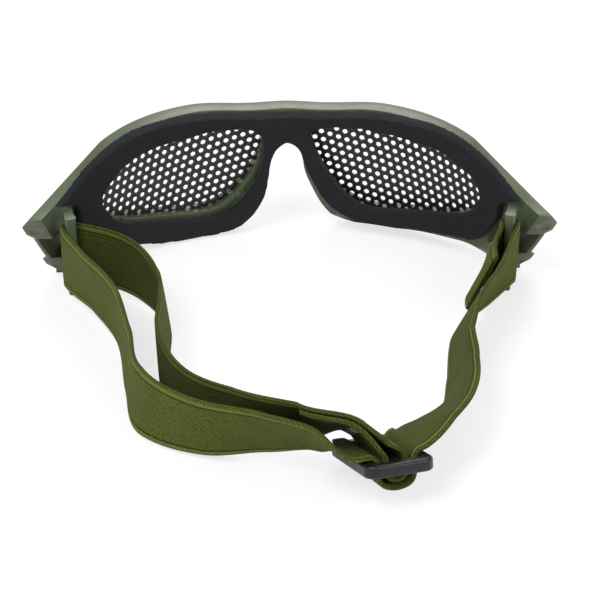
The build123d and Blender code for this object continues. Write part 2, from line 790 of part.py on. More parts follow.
def under_bar(shares, line_share, first, last):
    """A ply's dip under the centre bar, deeper at its near edge."""
    stations = [entry(first * line_share)]
    for along, near, far in shares:
        a = slider_point(along * slider_depth, near * web_width, -web_width / 2)
        b = slider_point(along * slider_depth, far * web_width, web_width / 2)
        stations.append(((a + b) / 2, unit(a - b)))
    stations.append(entry(last * line_share))
    return smooth(stations, web_steps, down(), down() * -1)


def slider_pass():
    return under_bar(pass_shares, pass_line_share, -1, 1)


def slider_fold():
    return under_bar(fold_shares, fold_line_share, 1, -1)


def bar_tack(sections, share, layers):
    """Stitches across the webbing, seen on both faces of the layers that they join."""
    i = int(share * (len(sections) - 1))
    length = web_width - 2 * tack_inset
    near = web_thick / 2 + tack_gap + tack_thick / 2
    far = near + layers * (web_thick + seam_gap)
    return [ribbon(sections[i:i + 2], length, tack_thick, lift) for lift in (far, -near)]


def as_solids(shape):
    if isinstance(shape, list):
        return Compound(children=[s for item in shape for s in item.solids()])
    return shape


def main():
    parts = {"front_frame": front_frame(), "face_foam": face_foam()}
    for side, name in ((1, "right"), (-1, "left")):
        parts[f"mesh_lens_{name}"] = mesh_lens(side)
        parts[f"lens_retainer_{name}"] = lens_retainer(side)
        parts[f"retainer_screws_{name}"] = retainer_screws(side)
        parts[f"strap_loop_{name}"] = strap_loop(side)
        parts[f"strap_wrap_{name}"] = ribbon(wrap_sections(side))
    parts["slider_buckle"] = slider_buckle()
    parts["strap_outer_ply"] = ribbon(outer_ply())
    parts["strap_inner_ply"] = ribbon(inner_ply())
    parts["strap_right_ply"] = ribbon(right_ply())
    parts["strap_right_return"] = ribbon(return_ply())
    parts["strap_slider_pass"] = ribbon(slider_pass())
    parts["strap_slider_fold"] = ribbon(slider_fold())
    parts["strap_tail"] = ribbon(tail_ply())
    parts["bartack_right"] = bar_tack(return_ply(), right_tack_share, 0)
    parts["bartack_slider"] = bar_tack(tail_ply(), slider_tack_share, 1)
    os.makedirs("parts", exist_ok=True)
    for name, shape in parts.items():
        export_step(as_solids(shape), f"parts/{name}.step")


main()
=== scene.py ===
import math

import bpy
import bmesh
from mathutils import Matrix, Vector, noise


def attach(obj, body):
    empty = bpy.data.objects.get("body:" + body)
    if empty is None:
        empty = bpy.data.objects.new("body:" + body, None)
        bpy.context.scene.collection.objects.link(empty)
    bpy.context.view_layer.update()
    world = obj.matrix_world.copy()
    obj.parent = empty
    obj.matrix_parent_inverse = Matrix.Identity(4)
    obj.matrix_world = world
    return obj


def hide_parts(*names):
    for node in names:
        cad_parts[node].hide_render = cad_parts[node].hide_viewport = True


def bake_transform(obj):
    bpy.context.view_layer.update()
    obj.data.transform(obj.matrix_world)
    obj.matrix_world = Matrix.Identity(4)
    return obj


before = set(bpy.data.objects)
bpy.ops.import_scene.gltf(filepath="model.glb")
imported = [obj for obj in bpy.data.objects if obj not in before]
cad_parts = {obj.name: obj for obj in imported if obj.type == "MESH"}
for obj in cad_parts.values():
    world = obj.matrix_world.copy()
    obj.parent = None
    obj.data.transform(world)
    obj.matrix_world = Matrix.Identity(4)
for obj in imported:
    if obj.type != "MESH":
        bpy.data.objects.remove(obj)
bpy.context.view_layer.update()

# Mesh safety goggles in metres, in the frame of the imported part: +Y is the way
# the wearer looks, +X is the wearer's right, +Z is up, and the table is at TABLE_Z.

MM = 0.001
WRAP_RADIUS = 87.0 * MM
WRAP_AXIS = Vector((0, -WRAP_RADIUS, 0))
TABLE_Z = -20.0 * MM
PHOTO_SIDE = 590.0
WEB_WIDTH = 20.0 * MM
WEB_THICK = 1.3 * MM
WEB_ROUND = 2 * (WEB_WIDTH + WEB_THICK)  # once round the webbing's section

CAD_MERGE = 0.004 * MM
CAD_FLAT_ANGLE = math.radians(0.6)
EDGE_ANGLE = math.radians(32.0)
EDGE_SEGMENTS = 2
SHARP_ANGLE = math.radians(40.0)
WEB_SHARP_ANGLE = math.radians(60.0)


# Small helpers

def finished(obj):
    """A new object, linked to the scene."""
    bpy.context.collection.objects.link(obj)
    return obj


def mesh_object(name, points, faces):
    mesh = bpy.data.meshes.new(name)
    mesh.from_pydata([tuple(p) for p in points], [], faces)
    mesh.update()
    return finished(bpy.data.objects.new(name, mesh))


def shade(obj, angle=None):
    """Smooth faces. With an angle, the edges over it stay sharp."""
    for face in obj.data.polygons:
        face.use_smooth = True
    if angle:
        obj.data.set_sharp_from_angle(angle=angle)


def face_outwards(obj):
    work = bmesh.new()
    work.from_mesh(obj.data)
    bmesh.ops.recalc_face_normals(work, faces=work.faces)
    work.to_mesh(obj.data)
    work.free()


def solid_copy(node, name):
    """A CAD node's shape as one connected mesh."""
    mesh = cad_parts[node].data.copy()
    obj = finished(bpy.data.objects.new(name, mesh))
    mesh.materials.clear()
    work = bmesh.new()
    work.from_mesh(mesh)
    bmesh.ops.remove_doubles(work, verts=work.verts, dist=CAD_MERGE)
    bmesh.ops.dissolve_limit(work, angle_limit=CAD_FLAT_ANGLE, verts=work.verts, edges=work.edges)
    work.to_mesh(mesh)
    work.free()
    return obj


def apply_modifiers(obj):
    """Replaces the mesh by its evaluated one and removes the modifiers."""
    bpy.context.view_layer.update()
    graph = bpy.context.evaluated_depsgraph_get()
    mesh = bpy.data.meshes.new_from_object(obj.evaluated_get(graph))
    old = obj.data
    obj.modifiers.clear()
    obj.data = mesh
    bpy.data.meshes.remove(old)
    return obj


def round_edges(obj, width):
    bevel = obj.modifiers.new("rounded edges", "BEVEL")
    bevel.width = width
    bevel.segments = EDGE_SEGMENTS
    bevel.limit_method = "ANGLE"
    bevel.angle_limit = EDGE_ANGLE
    bevel.use_clamp_overlap = True
    return apply_modifiers(obj)


def set_material(obj, material):
    obj.data.materials.clear()
    obj.data.materials.append(material)


# Materials

def grey(value):
    return (value,) * 3


class Shader:
    """A material's node tree, built node by node."""

    def __init__(self, name):
        self.material = bpy.data.materials.new(name)
        self.material.use_nodes = True
        self.tree = self.material.node_tree
        self.body = self.tree.nodes["Principled BSDF"]

    def node(self, kind, **settings):
        node = self.tree.nodes.new(kind)
        for key, value in settings.items():
            setattr(node, key, value)
        return node

    def link(self, output, target):
        self.tree.links.new(output, target)

    def set(self, **values):
        for key, value in values.items():
            socket = self.body.inputs[key.replace("_", " ")]
            socket.default_value = value

    def stretched(self, vector, scale):
        mapping = self.node("ShaderNodeMapping")
        mapping.inputs["Scale"].default_value = scale
        self.link(vector, mapping.inputs["Vector"])
        return mapping.outputs["Vector"]

    def coordinates(self, scale=(1, 1, 1)):
        return self.stretched(self.node("ShaderNodeTexCoord").outputs["Object"], scale)

    def noise(self, vector, scale, detail=2.0, roughness=0.5):
        node = self.node("ShaderNodeTexNoise")
        node.inputs["Scale"].default_value = scale
        node.inputs["Detail"].default_value = detail
        node.inputs["Roughness"].default_value = roughness
        self.link(vector, node.inputs["Vector"])
        return node.outputs["Fac"]

    def between(self, factor, low, high, spread=(0.3, 0.7)):
        """A colour that goes from low to high as the factor crosses the spread."""
        node = self.node("ShaderNodeValToRGB")
        for element, place, colour in zip(node.color_ramp.elements, spread, (low, high)):
            element.position = place
            element.color = (*colour, 1.0)
        self.link(factor, node.inputs["Fac"])
        return node.outputs["Color"]

    def feed(self, value, socket):
        """Links or sets one input."""
        if isinstance(value, (float, int)):
            socket.default_value = value
        elif isinstance(value, tuple):
            socket.default_value = (*value, 1.0)
        else:
            self.link(value, socket)

    def mix(self, factor, first, second):
        node = self.node("ShaderNodeMix", data_type="RGBA", blend_type="MIX")
        for value, socket in ((factor, 0), (first, 6), (second, 7)):
            self.feed(value, node.inputs[socket])
        return node.outputs[2]

    def math(self, kind, first, second=None, clamp=False):
        node = self.node("ShaderNodeMath", operation=kind, use_clamp=clamp)
        self.feed(first, node.inputs[0])
        if second is not None:
            self.feed(second, node.inputs[1])
        return node.outputs[0]

    def times(self, first, second, clamp=False):
        return self.math("MULTIPLY", first, second, clamp)

    def stripe(self, value, middle, half_width):
        """One where the value is within half_width of the middle, else nought."""
        node = self.node("ShaderNodeMath", operation="COMPARE")
        for i, each in enumerate((value, middle, half_width)):
            self.feed(each, node.inputs[i])
        return node.outputs[0]

    def waves(self, value, step):
        return self.math("SINE", self.times(value, 2 * math.pi / step))

    def bump(self, height, distance, strength=1.0, after=None):
        node = self.node("ShaderNodeBump")
        node.inputs["Strength"].default_value = strength
        node.inputs["Distance"].default_value = distance
        self.link(height, node.inputs["Height"])
        if after is not None:
            self.link(after, node.inputs["Normal"])
        return node.outputs["Normal"]

    def colour(self, output):
        self.link(output, self.body.inputs["Base Color"])

    def roughness(self, output):
        self.link(output, self.body.inputs["Roughness"])

    def normal(self, output):
        self.link(output, self.body.inputs["Normal"])


def moulded_green(name, dark, light, edge_highlight):
    """Satin moulded nylon: fine grain, faint flow marks, and a painted highlight: a paler colour in patches
    along the rounded edges.
    """
    flow_scale = (60, 60, 110)
    edge_radius = 0.55 * MM
    edge_turn = (0.86, 0.99)  # how far the rounded normal turns, from painted highlight to plain
    edge_highlight_gain = 1.3
    grain_depth, wave_depth = 0.012 * MM, 0.10 * MM
    s = Shader(name)
    place = s.coordinates()
    flow = s.noise(s.coordinates(flow_scale), 1.0, 3.0, 0.55)
    body = s.between(flow, dark, light, (0.32, 0.68))
    edge = s.node("ShaderNodeBevel", samples=6)
    edge.inputs["Radius"].default_value = edge_radius
    plain = s.node("ShaderNodeNewGeometry")
    turn = s.node("ShaderNodeVectorMath", operation="DOT_PRODUCT")
    s.link(edge.outputs["Normal"], turn.inputs[0])
    s.link(plain.outputs["Normal"], turn.inputs[1])
    # painted highlight: where the rounded normal turns from the plain one, the edges get the paler colour in
    # patches
    edge_highlight_mask = s.between(turn.outputs["Value"], grey(1.0), grey(0.0), edge_turn)
    paler_patches = s.times(s.noise(place, 420, 3.0), edge_highlight_mask)
    s.colour(s.mix(s.times(paler_patches, edge_highlight_gain, True), body, edge_highlight))
    s.roughness(s.between(s.noise(place, 900), grey(0.40), grey(0.52)))
    rolling = s.bump(s.noise(place, 160), wave_depth, 0.35)
    s.normal(s.bump(s.noise(place, 5200, 2.0, 0.6), grain_depth, 0.55, rolling))
    s.set(Specular_IOR_Level=0.5)
    return s.material


def foam_material():
    """Closed-cell foam: matt, near black, with a fine skin of cells and paler rubbed spots."""
    cell_depth, dent_depth = 0.05 * MM, 0.16 * MM
    s = Shader("face foam")
    place = s.coordinates()
    paler_patches = s.noise(place, 95, 4.0, 0.6)
    cells = s.noise(place, 3400, 3.0, 0.65)
    base = s.between(paler_patches, (0.0048, 0.0053, 0.0068), (0.0104, 0.0109, 0.0124), (0.25, 0.75))
    open_cells = s.between(cells, grey(0.0), grey(1.0), (0.35, 0.75))
    s.colour(s.mix(open_cells, base, (0.018, 0.019, 0.0205)))
    s.normal(s.bump(cells, cell_depth, 0.7, s.bump(s.noise(place, 420, 3.0), dent_depth, 0.4)))
    s.set(Roughness=0.93, Specular_IOR_Level=0.17, Sheen_Weight=0.06, Sheen_Roughness=0.45)
    return s.material


def steel_material():
    """Black coated perforated sheet."""
    coat_depth = 0.02 * MM
    s = Shader("black perforated steel")
    place = s.coordinates()
    s.colour(s.between(s.noise(place, 420, 3.0), (0.004, 0.004, 0.005), (0.009, 0.009, 0.0105)))
    s.normal(s.bump(s.noise(place, 3600), coat_depth, 0.5))
    s.roughness(s.between(s.noise(place, 700), grey(0.38), grey(0.5)))
    s.set(Specular_IOR_Level=0.5)
    return s.material


def screw_material():
    scratch_depth = 0.01 * MM
    s = Shader("plain screw steel")
    place = s.coordinates()
    s.colour(s.between(s.noise(place, 800), (0.26, 0.26, 0.25), (0.42, 0.42, 0.41)))
    s.normal(s.bump(s.noise(place, 4000), scratch_depth, 0.4))
    s.set(Metallic=1.0, Roughness=0.32)
    return s.material


def slider_material():
    """Black moulded acetal with a satin gloss and a little wear."""
    grain_depth, wave_depth = 0.012 * MM, 0.08 * MM
    s = Shader("black slider plastic")
    place = s.coordinates()
    s.colour(s.between(s.noise(place, 300, 3.0), (0.0060, 0.0064, 0.0080), (0.0115, 0.0120, 0.0145)))
    s.roughness(s.between(s.noise(place, 520, 3.0), grey(0.28), grey(0.44), (0.3, 0.75)))
    rolling = s.bump(s.noise(place, 260), wave_depth, 0.3)
    s.normal(s.bump(s.noise(place, 2600), grain_depth, 0.5, rolling))
    s.set(Specular_IOR_Level=0.34)
    return s.material


def webbing_material(name, dark, light, rib_dark):
    """Knitted elastic: staggered stitches along the strap, heathered yarn and a firmer selvage.
    The piece's UV map is its length and its way round the strap, both in metres."""
    stitch, row, gap = 1.15 * MM, 0.62 * MM, 0.12 * MM
    rib_step, rib_lean = 1.05 * MM, 0.45
    inner_start, inner_line_step, inner_shade = WEB_WIDTH + 0.6 * MM, 0.9 * MM, 0.22
    groove_place, groove_half = 7.9 * MM, 0.28 * MM  # from the strap's middle line
    selvage_place, selvage_half = 8.75 * MM, 0.5 * MM
    fuzz_depth, knit_depth = 0.10 * MM, 0.26 * MM
    s = Shader(name)
    uv = s.node("ShaderNodeUVMap", uv_map="Strap").outputs["UV"]
    split = s.node("ShaderNodeSeparateXYZ")
    s.link(uv, split.inputs[0])
    along, way = split.outputs["X"], split.outputs["Y"]
    knit = s.node("ShaderNodeTexBrick", offset=0.5, squash=1.0)
    sizes = {
        "Scale": 1.0, "Brick Width": stitch, "Row Height": row, "Mortar Size": gap, "Mortar Smooth": 1.0}
    for key, value in sizes.items():
        knit.inputs[key].default_value = value
    s.link(uv, knit.inputs["Vector"])
    gaps = knit.outputs["Fac"]
    yarn = s.noise(s.stretched(uv, (0.35, 1.0, 1.0)), 2100, 3.0, 0.7)
    patches = s.noise(uv, 160, 3.0, 0.6)
    colour = s.between(yarn, dark, light, (0.32, 0.66))
    colour = s.mix(s.between(patches, grey(0.0), grey(0.30), (0.3, 0.75)), colour, rib_dark)
    colour = s.mix(s.times(gaps, 0.72), colour, rib_dark)
    # short ribs that lean across the strap, broken by the yarn
    lean = s.math("ADD", along, s.times(way, rib_lean))
    ribs = s.times(s.times(s.waves(lean, rib_step), 0.8, True), s.math("ADD", yarn, 0.15))
    colour = s.mix(ribs, colour, rib_dark)
    # the side that lies on the head: darker, with close lines along the strap
    inner = s.math("GREATER_THAN", s.math("MODULO", way, WEB_ROUND), inner_start)
    lines = s.times(s.times(s.waves(way, inner_line_step), 0.5, True), inner)
    colour = s.mix(s.math("ADD", lines, s.times(inner, inner_shade)), colour, rib_dark)
    # a groove and a raised selvage near both edges
    from_edge = s.math("SUBTRACT", s.math("MODULO", way, WEB_ROUND / 2), WEB_WIDTH / 2)
    from_middle = s.math("ABSOLUTE", from_edge)
    groove = s.stripe(from_middle, groove_place, groove_half)
    selvage = s.stripe(from_middle, selvage_place, selvage_half)
    colour = s.mix(s.times(selvage, 0.75), colour, light)
    s.colour(s.mix(s.times(groove, 0.85), colour, rib_dark))
    ridge = s.math("SUBTRACT", s.math("SUBTRACT", 1.0, gaps), s.math("ADD", groove, ribs))
    firm = s.math("ADD", s.times(selvage, 0.5), s.math("SUBTRACT", ridge, lines))
    s.normal(s.bump(s.noise(uv, 5200, 2.0, 0.7), fuzz_depth, 0.6, s.bump(firm, knit_depth, 0.85)))
    s.set(Roughness=0.9, Specular_IOR_Level=0.12, Sheen_Weight=0.05, Sheen_Roughness=0.4)
    s.set(Sheen_Tint=(0.75, 0.85, 0.45, 1.0))
    return s.material


def thread_material():
    thread_depth = 0.05 * MM
    s = Shader("tack thread")
    place = s.coordinates()
    s.colour(s.between(s.noise(place, 2600), (0.10, 0.15, 0.018), (0.26, 0.34, 0.06)))
    s.normal(s.bump(s.noise(place, 6000), thread_depth, 0.6))
    s.set(Roughness=0.6, Sheen_Weight=0.3)
    return s.material


# each green's third colour is its painted edge highlight
green = moulded_green("green moulded nylon", (0.052, 0.066, 0.032), (0.076, 0.092, 0.047), (0.16, 0.19, 0.11))
ring_green = moulded_green(
    "green retainer nylon", (0.046, 0.060, 0.027), (0.068, 0.084, 0.040), (0.14, 0.17, 0.09))
foam_black = foam_material()
lens_black = steel_material()
screw_steel = screw_material()
slider_black = slider_material()
olive_web = webbing_material(
    "olive elastic webbing", (0.058, 0.074, 0.0095), (0.140, 0.168, 0.0265), (0.018, 0.025, 0.0034))
tack_thread = thread_material()


# Frame, retainers and loops: the CAD shapes with moulded edges

FRAME_EDGE = 0.35 * MM
LOOP_EDGE = 0.3 * MM
RETAINER_EDGE = 0.15 * MM
SLIDER_EDGE = 0.22 * MM


def moulded_piece(node, name, body, edge, material):
    piece = round_edges(solid_copy(node, name), edge)
    shade(piece, SHARP_ANGLE)
    set_material(piece, material)
    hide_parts(node)
    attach(piece, body)


moulded_piece("front_frame", "frame_moulding", "goggles", FRAME_EDGE, green)
for side in ("left", "right"):
    loop, ring, screws = f"strap_loop_{side}", f"lens_retainer_{side}", f"retainer_screws_{side}"
    moulded_piece(loop, f"loop_{side}", loop, LOOP_EDGE, green)
    moulded_piece(ring, f"retainer_{side}", "goggles", RETAINER_EDGE, ring_green)
    set_material(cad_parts[screws], screw_steel)
moulded_piece("slider_buckle", "slider_moulding", "slider", SLIDER_EDGE, slider_black)


# Lenses: a hexagonal perforation by Geometry Nodes, bent to the frame's curve

HOLE_RADIUS = 0.825 * MM
HOLE_PITCH = 2.8 * MM
ROW_TILT = math.radians(-16.0)  # the rows fall towards the ends
LENS_RADIUS = 84.2 * MM  # middle of the sheet
LENS_SHEET = 0.6 * MM
EYE_GAUGE_RADIUS = 76.0 * MM
EYE_CENTRE = (31.4 * MM, 1.9 * MM)
EYE_HALF = (23.8 * MM, 14.1 * MM)
LENS_MARGIN = 2.0 * MM  # the pattern goes on this far under the foam
HOLE_SIDES = 24
ROWS_EACH_WAY = 16
TILE_MERGE = 0.05 * MM
FINAL_MERGE = 0.02 * MM
HEX_TURN = math.pi / 3

eye_shares = [
    (-0.975, 0.87), (-0.834, 0.965), (-0.643, 1.0), (-0.256, 0.993), (0.06, 0.929),
    (0.424, 0.837), (0.597, 0.73), (0.772, 0.553), (0.884, 0.383), (0.951, 0.22),
    (0.989, 0.007), (0.945, -0.19), (0.836, -0.43), (0.645, -0.688), (0.303, -0.865),
    (0.066, -0.943), (-0.17, -1.0), (-0.425, -0.965), (-0.555, -0.845), (-0.676, -0.645),
    (-0.808, -0.355), (-0.904, -0.07), (-0.985, 0.376), (-1.0, 0.645),
]


def eye_outline(grow):
    """Points of the eye opening as (arc on the lens, height)."""
    points = []
    for a, b in eye_shares:
        sine = (EYE_CENTRE[0] + a * (EYE_HALF[0] + grow)) / EYE_GAUGE_RADIUS
        points.append((math.asin(sine) * LENS_RADIUS, EYE_CENTRE[1] + b * (EYE_HALF[1] + grow)))
    return points


def inside(x, z, outline):
    within = False
    for (x1, z1), (x2, z2) in zip(outline, outline[1:] + outline[:1]):
        if (z1 > z) != (z2 > z) and x < x1 + (z - z1) / (z2 - z1) * (x2 - x1):
            within = not within
    return within


class Nodes:
    """A Geometry Nodes tree with named inputs."""

    def __init__(self, name, sizes):
        self.tree = bpy.data.node_groups.new(name, "GeometryNodeTree")
        face = self.tree.interface
        face.new_socket("Geometry", in_out="INPUT", socket_type="NodeSocketGeometry")
        face.new_socket("Geometry", in_out="OUTPUT", socket_type="NodeSocketGeometry")
        self.sizes = []
        for key, value in sizes.items():
            kind = "NodeSocketInt" if isinstance(value, int) else "NodeSocketFloat"
            socket = face.new_socket(key, in_out="INPUT", socket_type=kind)
            socket.default_value = value
            self.sizes.append((socket.identifier, value))
        self.start = self.tree.nodes.new("NodeGroupInput")
        self.end = self.tree.nodes.new("NodeGroupOutput")

    def feed(self, value, socket):
        if isinstance(value, bpy.types.NodeSocket):
            self.tree.links.new(value, socket)
        else:
            socket.default_value = value

    def add(self, kind, inputs, **settings):
        node = self.tree.nodes.new(kind)
        for key, value in settings.items():
            setattr(node, key, value)
        for key, value in inputs.items():
            self.feed(value, node.inputs[key])
        return node

    def size(self, key):
        return self.start.outputs[key]

    def position(self):
        return self.add("GeometryNodeInputPosition", {}).outputs[0]

    def calc(self, kind, *values):
        return self.add("ShaderNodeMath", dict(enumerate(values)), operation=kind).outputs[0]

    def move(self, geometry, place, **inputs):
        values = {"Geometry": geometry, "Position": place, **inputs}
        return self.add("GeometryNodeSetPosition", values).outputs[0]

    def scaled(self, vector, factor):
        return self.add("ShaderNodeVectorMath", {0: vector, "Scale": factor}, operation="SCALE").outputs[0]

    def joined(self, geometry, distance):
        """The instances as one mesh, with the points within a distance merged."""
        real = self.add("GeometryNodeRealizeInstances", {"Geometry": geometry})
        values = {"Geometry": real.outputs[0], "Distance": distance}
        return self.add("GeometryNodeMergeByDistance", values).outputs[0]

    def finish(self, geometry, obj, material):
        """Ends the tree, runs it on an object and leaves a plain mesh there."""
        merged = self.joined(geometry, FINAL_MERGE)
        painted = self.add("GeometryNodeSetMaterial", {"Geometry": merged, "Material": material})
        self.tree.links.new(painted.outputs[0], self.end.inputs[0])
        modifier = obj.modifiers.new(self.tree.name, "NODES")
        modifier.node_group = self.tree
        for identifier, value in self.sizes:
            modifier[identifier] = value
        apply_modifiers(obj)


def perforated_tree(row_turn):
    """A hexagonal tile with a round hole at every point, then the bend about the wearer's head."""
    t = Nodes("perforated sheet", {
        "Hole Radius": HOLE_RADIUS, "Pitch": HOLE_PITCH, "Bend Radius": LENS_RADIUS, "Row Turn": row_turn})
    rim = t.add("GeometryNodeMeshCircle", {"Vertices": HOLE_SIDES, "Radius": 1.0}, fill_type="NGON")
    place = t.position()
    split = t.add("ShaderNodeSeparateXYZ", {0: place})
    angle = t.calc("ARCTAN2", split.outputs[1], split.outputs[0])
    # distance from the tile's middle to its six-sided edge, with flats above and below
    turned = t.calc("SUBTRACT", t.calc("FLOORED_MODULO", angle, HEX_TURN), HEX_TURN / 2)
    reach = t.calc("DIVIDE", t.calc("MULTIPLY", t.size("Pitch"), 0.5), t.calc("COSINE", turned))
    tile = t.move(rim.outputs[0], t.scaled(place, reach))
    inset = t.add("GeometryNodeExtrudeMesh", {"Mesh": tile, "Offset Scale": 0.0}, mode="FACES")
    top = inset.outputs["Top"]
    unit = t.add("ShaderNodeVectorMath", {0: t.position()}, operation="NORMALIZE").outputs[0]
    hole = t.move(inset.outputs["Mesh"], t.scaled(unit, t.size("Hole Radius")), Selection=top)
    opened = t.add("GeometryNodeDeleteGeometry", {"Geometry": hole, "Selection": top}, domain="FACE")
    row = t.add("ShaderNodeCombineXYZ", {2: t.size("Row Turn")})
    spread = t.add("GeometryNodeInstanceOnPoints", {
        "Points": t.start.outputs[0], "Instance": opened.outputs[0], "Rotation": row.outputs[0]})
    flat = t.joined(spread.outputs[0], TILE_MERGE)
    bend = t.size("Bend Radius")
    parts = t.add("ShaderNodeSeparateXYZ", {0: t.position()})
    turn = t.calc("DIVIDE", parts.outputs[0], bend)
    x = t.calc("MULTIPLY", t.calc("SINE", turn), bend)
    y = t.calc("SUBTRACT", t.calc("MULTIPLY", t.calc("COSINE", turn), bend), WRAP_RADIUS)
    bent = t.add("ShaderNodeCombineXYZ", {0: x, 1: y, 2: parts.outputs[1]})
    return t, t.move(flat, bent.outputs[0])


def lens_sheet(side, name, node):
    """The sheet, with a tile round each hole inside the pocket's outline."""
    outline = eye_outline(LENS_MARGIN)
    middle = math.asin(EYE_CENTRE[0] / EYE_GAUGE_RADIUS) * LENS_RADIUS
    rise = ROW_TILT + HEX_TURN
    counts = range(-ROWS_EACH_WAY, ROWS_EACH_WAY + 1)
    points = []
    for i in counts:
        for j in counts:
            arc = middle + HOLE_PITCH * (i * math.cos(ROW_TILT) + j * math.cos(rise))
            z = EYE_CENTRE[1] + HOLE_PITCH * (i * math.sin(ROW_TILT) + j * math.sin(rise))
            if inside(arc, z, outline):
                points.append((side * arc, z, 0.0))
    sheet = mesh_object(name, points, [])
    tree, geometry = perforated_tree(side * (ROW_TILT + HEX_TURN / 2))
    tree.finish(geometry, sheet, lens_black)
    wall = sheet.modifiers.new("sheet thickness", "SOLIDIFY")
    wall.thickness = LENS_SHEET
    wall.offset = 0.0
    apply_modifiers(sheet)
    face_outwards(sheet)
    shade(sheet, SHARP_ANGLE)
    set_material(sheet, lens_black)
    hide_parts(node)
    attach(sheet, "goggles")


lens_sheet(1, "lens_sheet_right", "mesh_lens_right")
lens_sheet(-1, "lens_sheet_left", "mesh_lens_left")


# Face foam: the CAD block, remeshed, softened and creased

FOAM_VOXEL = 0.55 * MM
FOAM_SMOOTHING = 0.5
FOAM_SMOOTH_STEPS = 7
FOAM_FRONT = 6.1 * MM  # how far inside the wrap radius the foam starts
FOAM_TRIM = 0.12  # mm off the whole skin
SAG_SLOPE = 0.26  # the top falls towards the wearer, from SAG_START mm behind the front
SAG_START = 0.6
SAG_FACING = (0.15, 0.5)  # from this upward turn, over this much
SAG_HEIGHT = (2.0, 6.0)  # from this height in mm, over this much
ROLL_DEPTH, ROLL_SCALE = 0.22, 0.14
DIMPLE_DEPTH, DIMPLE_SCALE = 0.10, 0.45
DIMPLE_SHIFT = Vector((7, 0, 0))

# start and direction in mm, then length, depth and width in mm
foam_creases = [
    ((0.5, -7, 19), (0.15, -0.1, -1), 9.0, 0.7, 0.8),
    ((-3.5, -9, 20), (-0.35, -0.2, -0.9), 8.0, 0.55, 0.7),
    ((4.5, -9, 20), (0.4, -0.2, -0.9), 9.0, 0.55, 0.7),
    ((-36, -20, 20), (0.75, 0.2, -0.55), 9.0, 0.6, 0.8),
    ((-44, -22, 18), (0.6, 0.3, -0.4), 7.0, 0.5, 0.7),
    ((52, -30, 14), (-0.6, 0.3, -0.5), 8.0, 0.55, 0.8),
    ((-58, -36, 9), (0.5, 0.2, -0.7), 8.0, 0.6, 0.9),
    ((60, -38, 6), (-0.5, 0.25, -0.7), 8.0, 0.55, 0.9),
]


def crease(p, at, direction, length, depth, width):
    """How far a crease moves a point, for a line from at along direction."""
    way = Vector(direction).normalized()
    offset = p - Vector(at)
    along = offset.dot(way)
    if along < 0 or along > length:
        return 0.0
    away = (offset - way * along).length
    fade = math.sin(math.pi * along / length)
    return -depth * fade * math.exp(-(away / width) ** 2)


def share_of(value, start, span):
    return max(0.0, min(1.0, (value - start) / span))


def foam_skin(mesh):
    """Moves the skin: a top that falls to the wearer, soft rolls, dimples and creases."""
    normals = [v.normal.copy() for v in mesh.vertices]
    for v, n in zip(mesh.vertices, normals):
        p = v.co / MM
        out = Vector((v.co.x, v.co.y + WRAP_RADIUS, 0))
        front = max(0.0, n.dot(out.normalized()))
        depth = (WRAP_RADIUS - FOAM_FRONT - out.length) / MM
        sag = share_of(n.z, *SAG_FACING) * share_of(p.z, *SAG_HEIGHT)
        v.co.z -= SAG_SLOPE * max(0.0, depth - SAG_START) * sag * MM
        lift = ROLL_DEPTH * noise.noise(p * ROLL_SCALE)
        lift += DIMPLE_DEPTH * noise.noise(p * DIMPLE_SCALE + DIMPLE_SHIFT)
        lift += sum(crease(p, *row) for row in foam_creases)
        v.co += n * (lift * (1 - front) - FOAM_TRIM) * MM


def face_foam():
    foam = solid_copy("face_foam", "foam_pad")
    remesh = foam.modifiers.new("even skin", "REMESH")
    remesh.mode = "VOXEL"
    remesh.voxel_size = FOAM_VOXEL
    remesh.use_smooth_shade = True
    apply_modifiers(foam)
    soften = foam.modifiers.new("soft edges", "SMOOTH")
    soften.factor = FOAM_SMOOTHING
    soften.iterations = FOAM_SMOOTH_STEPS
    apply_modifiers(foam)
    foam_skin(foam.data)
    shade(foam)
    set_material(foam, foam_black)
    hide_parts("face_foam")
    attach(foam, "goggles")


face_foam()


# Webbing

WEB_STEPS = 10
REST_DEPTH = 20.0 * MM
SEAM_GAP = 0.15 * MM
PEG_RADIUS_IN = 83.1 * MM  # the loops' pivots from the wearer's side of the axis
PEG_ANGLE = math.radians(53.6)
LOOP_SPLAY = math.radians(15.0)
POST_CENTRE = 11.7 * MM
POST_MIDDLE_Z = -7.3 * MM
POST_HALF = (1.3 * MM, 1.6 * MM)
POST_ROUND = 0.9 * MM
POST_CLEAR = 0.1 * MM
POST_CORNER = math.hypot(POST_HALF[0] - POST_ROUND, POST_HALF[1] - POST_ROUND) + POST_ROUND
WRAP_REACH = POST_CORNER + POST_CLEAR + WEB_THICK / 2  # to the webbing's middle
TURN_LEFT = (200.0, 70.0)  # degrees round the post
TURN_RIGHT = (-25.0, 165.0)
TURN_STEPS = (20, 28)  # left and right
SLIDER_PLACE = Vector((18.8, -144.8, -12.2)) * MM
SLIDER_ALONG = Vector((0.951, 0.298, -0.05)).normalized()
SLIDER_UP = SLIDER_ALONG.cross(Vector((-0.297, 0.893, -0.33)).normalized()).normalized()
SLIDER_BARS = SLIDER_UP.cross(SLIDER_ALONG)
SLIDER_DEPTH = 17.8 * MM
ENTRY_HEIGHT = 0.5 * MM
PASS_LINE = 0.265
FOLD_LINE = 0.135
TAIL_REACH = (0.55, 0.65)

